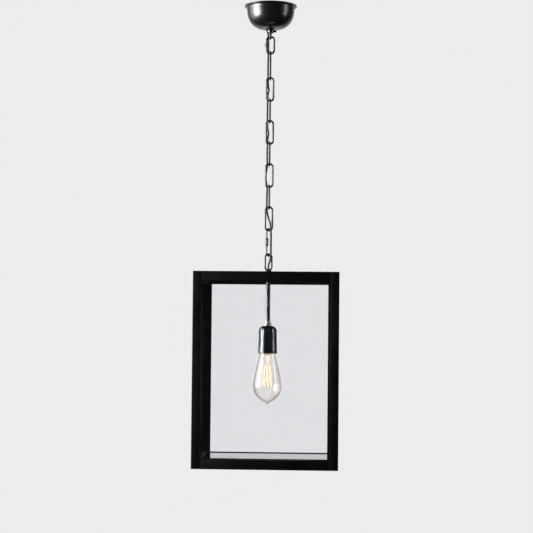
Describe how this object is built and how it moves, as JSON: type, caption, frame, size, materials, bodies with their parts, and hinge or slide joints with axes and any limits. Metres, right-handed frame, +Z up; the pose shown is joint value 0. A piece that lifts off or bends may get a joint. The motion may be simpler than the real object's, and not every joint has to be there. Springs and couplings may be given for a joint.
{
  "type": "hanging lantern",
  "caption": "Chain-hung box lantern: a glazed frame of square bars with a filament bulb on a stem, under a domed ceiling cup.",
  "frame": {"origin": "centre of the ceiling plate's top face, on the chain's axis", "axes": "+Z up to the ceiling, front of the lantern towards -Y, +X to the right seen from the front"},
  "size_m": [0.319, 0.212, 1.035],
  "materials": {
    "matt_black": "matt powder coat",
    "satin_black": "satin lacquer",
    "dark_steel": "blackened, satin",
    "brass": "plain",
    "ceramic": "semi-matt",
    "cord": "braided",
    "pane": "clear float glass",
    "bulb_glass": "clear, slight amber",
    "filament": "glowing"
  },
  "bodies": {
    "ceiling": {"ceiling_plate": "dark_steel", "ceiling_screw_1": "dark_steel", "ceiling_screw_2": "dark_steel", "load_hook": "satin_black", "canopy": "satin_black", "canopy_collar": "satin_black", "terminal_block": "ceramic", "cord_1": "cord"},
    "side_screw": {"collar_screw": "satin_black"},
    "top_quick_link": {"upper_link": "satin_black", "cord_2": "cord"},
    "top_sleeve": {"upper_sleeve": "dark_steel"},
    "upper_chain": {"chain_link_1": "satin_black", "cord_3": "cord", "chain_link_2": "satin_black", "cord_4": "cord", "chain_link_3": "satin_black", "cord_5": "cord"},
    "middle_link": {"chain_link_4": "satin_black", "cord_6": "cord"},
    "lower_chain": {"chain_link_5": "satin_black", "cord_7": "cord", "chain_link_6": "satin_black", "cord_8": "cord", "chain_link_7": "satin_black", "cord_9": "cord", "chain_link_8": "satin_black", "cord_10": "cord"},
    "bottom_quick_link": {"lower_link": "satin_black", "cord_11": "cord"},
    "bottom_sleeve": {"lower_sleeve": "dark_steel"},
    "lantern": {"loop_nut": "satin_black", "cord_12": "cord", "cross_bar": "matt_black", "stem": "satin_black", "stem_collar": "dark_steel", "front_left_post": "matt_black", "front_right_post": "matt_black", "rear_left_post": "matt_black", "rear_right_post": "matt_black", "top_front_rail": "matt_black", "top_rear_rail": "matt_black", "top_left_rail": "matt_black", "top_right_rail": "matt_black", "bottom_front_rail": "matt_black", "bottom_rear_rail": "matt_black", "bottom_left_rail": "matt_black", "bottom_right_rail": "matt_black", "front_glass": "pane", "rear_glass": "pane", "left_glass": "pane", "right_glass": "pane", "floor_glass": "pane", "holder_cap": "satin_black", "holder_skirt": "satin_black", "socket_insert": "ceramic"},
    "bulb": {"bulb_base": "brass", "bulb_glass": "bulb_glass", "bulb_stem": "pane", "filament": "filament"}
  },
  "joints": [
    {"name": "top_link_swing", "type": "hinge", "parent": "ceiling", "child": "top_quick_link", "pos_m": [0, 0, -0.07575], "axis": [0, 1, 0], "range_deg": [-10, 10]},
    {"name": "upper_chain_swing", "type": "hinge", "parent": "top_quick_link", "child": "upper_chain", "pos_m": [0, 0, -0.10975], "axis": [1, 0, 0], "range_deg": [-10, 10]},
    {"name": "middle_link_swing", "type": "hinge", "parent": "upper_chain", "child": "middle_link", "pos_m": [0, 0, -0.2659], "axis": [0, 1, 0], "range_deg": [-10, 10]},
    {"name": "lower_chain_swing", "type": "hinge", "parent": "middle_link", "child": "lower_chain", "pos_m": [0, 0, -0.3146], "axis": [1, 0, 0], "range_deg": [-10, 10]},
    {"name": "bottom_link_swing", "type": "hinge", "parent": "lower_chain", "child": "bottom_quick_link", "pos_m": [0, 0, -0.5094], "axis": [1, 0, 0], "range_deg": [-10, 10]},
    {"name": "lantern_swing", "type": "hinge", "parent": "bottom_quick_link", "child": "lantern", "pos_m": [0, 0, -0.5666], "axis": [0, 1, 0], "range_deg": [-10, 10]},
    {"name": "top_sleeve_open", "type": "slide", "parent": "top_quick_link", "child": "top_sleeve", "axis": [0, 0, 1], "range_m": [0, 0.0065]},
    {"name": "bottom_sleeve_open", "type": "slide", "parent": "bottom_quick_link", "child": "bottom_sleeve", "axis": [0, 0, 1], "range_m": [0, 0.013]},
    {"name": "side_screw_turn", "type": "hinge", "parent": "ceiling", "child": "side_screw", "pos_m": [0.0105, 0, -0.0589], "axis": [1, 0, 0], "range_deg": [-720, 0]},
    {"name": "bulb_turn", "type": "hinge", "parent": "lantern", "child": "bulb", "pos_m": [0, 0, -0.82], "axis": [0, 0, 1], "range_deg": [-900, 0]}
  ]
}
